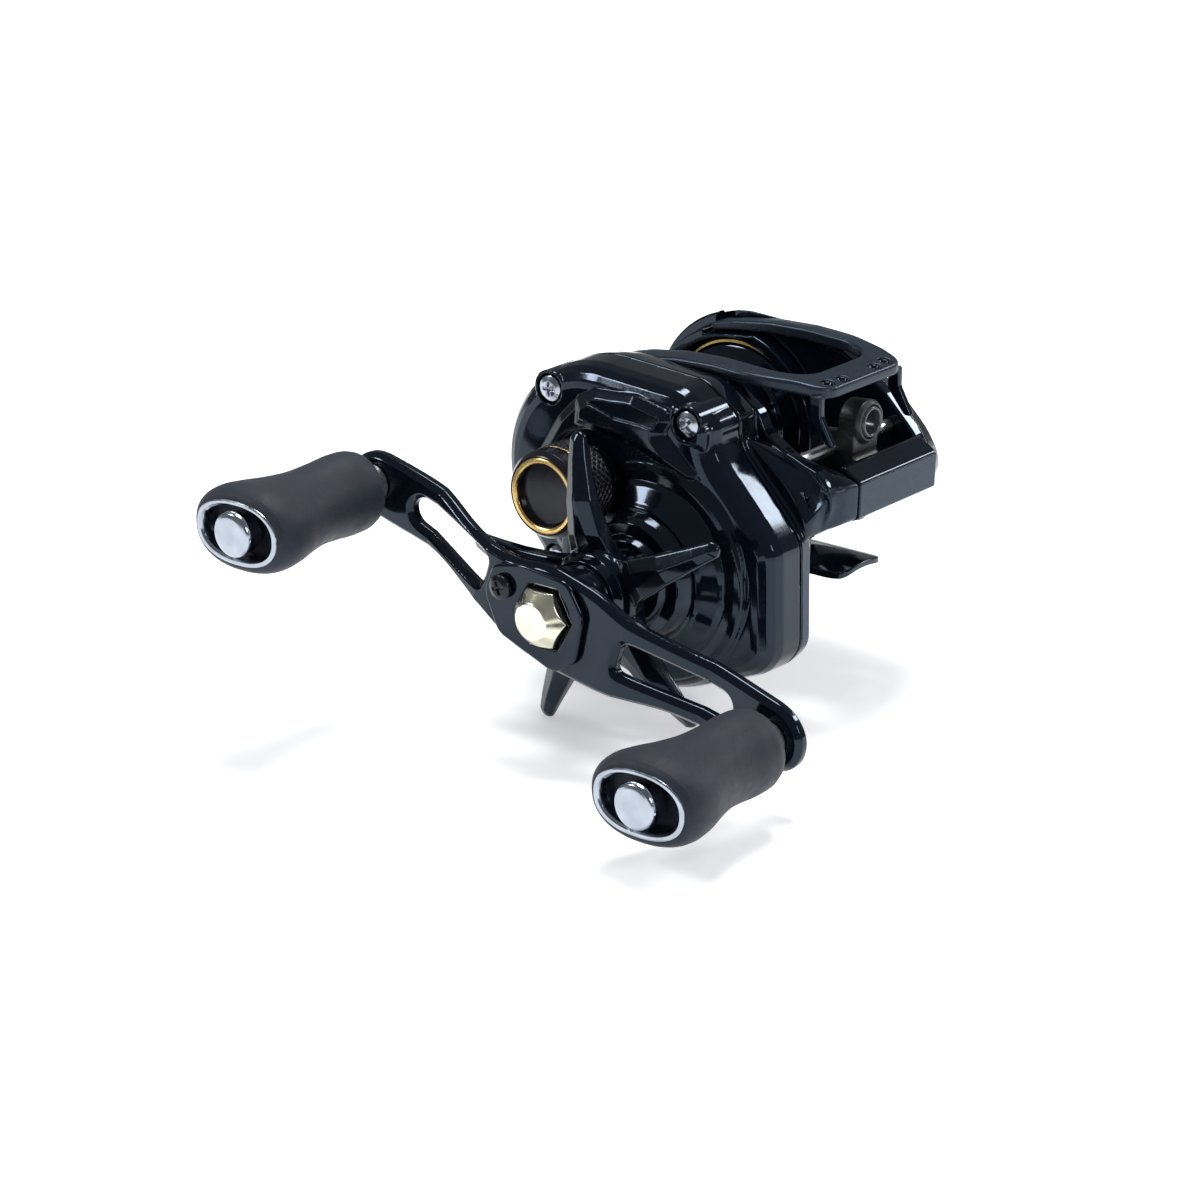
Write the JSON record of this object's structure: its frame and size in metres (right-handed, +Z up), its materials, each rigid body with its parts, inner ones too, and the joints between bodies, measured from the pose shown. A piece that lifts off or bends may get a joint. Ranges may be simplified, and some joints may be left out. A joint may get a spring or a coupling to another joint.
{
  "type": "baitcasting fishing reel",
  "caption": "Low-profile baitcasting fishing reel with star drag, levelwind line guide and a double-knob handle on the right.",
  "frame": {"origin": "middle of the flat pad under the reel foot, which rests in a rod's reel seat", "axes": "+X towards the handle, along the spool axis; +Y forward, the way the line leaves; +Z up from the rod"},
  "size_m": [0.1195, 0.1078, 0.06],
  "materials": {
    "gloss_black": "deep black gloss over a faint blue tint",
    "satin_graphite": "satin blue graphite paint",
    "grip": "soft matte grip",
    "black_plastic": "fine matte moulded black",
    "anodised_black": "black anodised aluminium",
    "gold": "gold anodised",
    "pale_gold": "pale champagne gold, polished",
    "steel": "machined",
    "chrome": "dark smoked chrome",
    "brass": "machined brass",
    "carbon": "woven carbon friction material",
    "ceramic": "polished dark ceramic"
  },
  "bodies": {
    "body": {"frame": "gloss_black", "reel_foot": "gloss_black", "foot_screw_rear": "steel", "foot_screw_front": "steel", "gear_side_plate": "gloss_black", "side_plate_screw_rear": "gloss_black", "side_plate_screw_front": "gloss_black", "side_plate_screw_lower": "gloss_black", "palm_side_plate": "gloss_black", "hood": "satin_graphite", "front_panel": "satin_graphite", "spool_bearing_palm": "steel", "spool_bearing_gear": "steel", "drive_shaft_bearing_inner": "steel", "drive_shaft_bearing_outer": "steel", "one_way_bearing": "steel", "worm_bushing_gear": "black_plastic", "worm_bushing_palm": "black_plastic", "guide_rod": "steel"},
    "spool": {"spool": "anodised_black", "spool_shaft": "steel", "brake_inductor": "steel"},
    "crank": {"drive_shaft": "steel", "drive_gear": "brass", "layshaft_gear": "brass", "ratchet_wheel": "steel", "drag_washer_inner": "carbon", "key_washer": "steel", "drag_washer_outer": "carbon", "pressure_plate": "steel", "spring_washers": "steel", "handle_blade": "gloss_black", "handle_nut": "pale_gold", "nut_retainer": "gloss_black", "retainer_screw": "gloss_black", "knob_post_rear": "steel", "knob_post_front": "steel"},
    "star": {"star_drag": "gloss_black", "star_nut": "brass"},
    "rear_grip": {"handle_knob_rear": "grip", "knob_ring_rear": "chrome", "knob_cap_rear": "chrome"},
    "front_grip": {"handle_knob_front": "grip", "knob_ring_front": "chrome", "knob_cap_front": "chrome"},
    "clutch_lift": {"clutch_yoke": "black_plastic"},
    "pinion": {"pinion_gear": "brass"},
    "thumb_lever": {"thumb_bar": "satin_graphite", "clutch_plate": "steel"},
    "idler": {"idler_gear": "black_plastic"},
    "worm": {"worm_shaft": "steel", "worm_gear": "black_plastic"},
    "carriage": {"line_guide": "black_plastic", "guide_insert": "ceramic", "guide_pawl": "brass", "pawl_cap": "black_plastic"},
    "tension": {"tension_knob": "anodised_black", "tension_knob_ring": "gold"},
    "dial": {"brake_dial": "black_plastic"},
    "magnets": {"magnet_holder": "black_plastic"}
  },
  "joints": [
    {"name": "handle_turn", "type": "hinge", "parent": "body", "child": "crank", "pos_m": [0.013, 0.007, 0.004], "axis": [1, 0, 0], "continuous": true},
    {"name": "star_turn", "type": "hinge", "parent": "crank", "child": "star", "pos_m": [0.044, 0.007, 0.004], "axis": [1, 0, 0], "range_deg": [-160, 160]},
    {"name": "rear_knob_spin", "type": "hinge", "parent": "crank", "child": "rear_grip", "pos_m": [0.06, -0.03599, 0.01731], "axis": [1, 0, 0], "continuous": true},
    {"name": "front_knob_spin", "type": "hinge", "parent": "crank", "child": "front_grip", "pos_m": [0.06, 0.04999, -0.00931], "axis": [1, 0, 0], "continuous": true},
    {"name": "spool_spin", "type": "hinge", "parent": "body", "child": "spool", "pos_m": [0, -0.007, 0.018], "axis": [1, 0, 0], "continuous": true},
    {"name": "thumb_press", "type": "slide", "parent": "body", "child": "thumb_lever", "axis": [0, 0, -1], "range_m": [0, 0.0036], "stiffness_N_per_m": 60, "springref_m": -0.002},
    {"name": "clutch_slide", "type": "slide", "parent": "body", "child": "clutch_lift", "axis": [1, 0, 0], "range_m": [0, 0.0016]},
    {"name": "pinion_spin", "type": "hinge", "parent": "clutch_lift", "child": "pinion", "pos_m": [0.02, -0.007, 0.018], "axis": [1, 0, 0], "continuous": true},
    {"name": "idler_spin", "type": "hinge", "parent": "body", "child": "idler", "pos_m": [0.018, 0.0192, 0.01144], "axis": [1, 0, 0], "continuous": true},
    {"name": "worm_spin", "type": "hinge", "parent": "body", "child": "worm", "pos_m": [0, 0.0275, 0.0165], "axis": [1, 0, 0], "continuous": true},
    {"name": "guide_travel", "type": "slide", "parent": "body", "child": "carriage", "axis": [1, 0, 0], "range_m": [-0.0069, 0.0069]},
    {"name": "tension_turn", "type": "hinge", "parent": "body", "child": "tension", "pos_m": [0.034, -0.007, 0.018], "axis": [1, 0, 0], "range_deg": [-180, 180]},
    {"name": "brake_turn", "type": "hinge", "parent": "body", "child": "dial", "pos_m": [-0.025, -0.007, 0.018], "axis": [-1, 0, 0], "range_deg": [0, 150]},
    {"name": "magnet_slide", "type": "slide", "parent": "body", "child": "magnets", "axis": [1, 0, 0], "range_m": [0, 0.001]}
  ],
  "couplings": [
    {"joint": "spool_spin", "follows": "handle_turn", "ratio": -7.5},
    {"joint": "pinion_spin", "follows": "handle_turn", "ratio": -7.5},
    {"joint": "idler_spin", "follows": "handle_turn", "ratio": -1.2727},
    {"joint": "worm_spin", "follows": "handle_turn", "ratio": 2.3333},
    {"joint": "clutch_slide", "follows": "thumb_press", "ratio": 0.44444},
    {"joint": "magnet_slide", "follows": "brake_turn", "m_per_rad": 0.00038197}
  ]
}
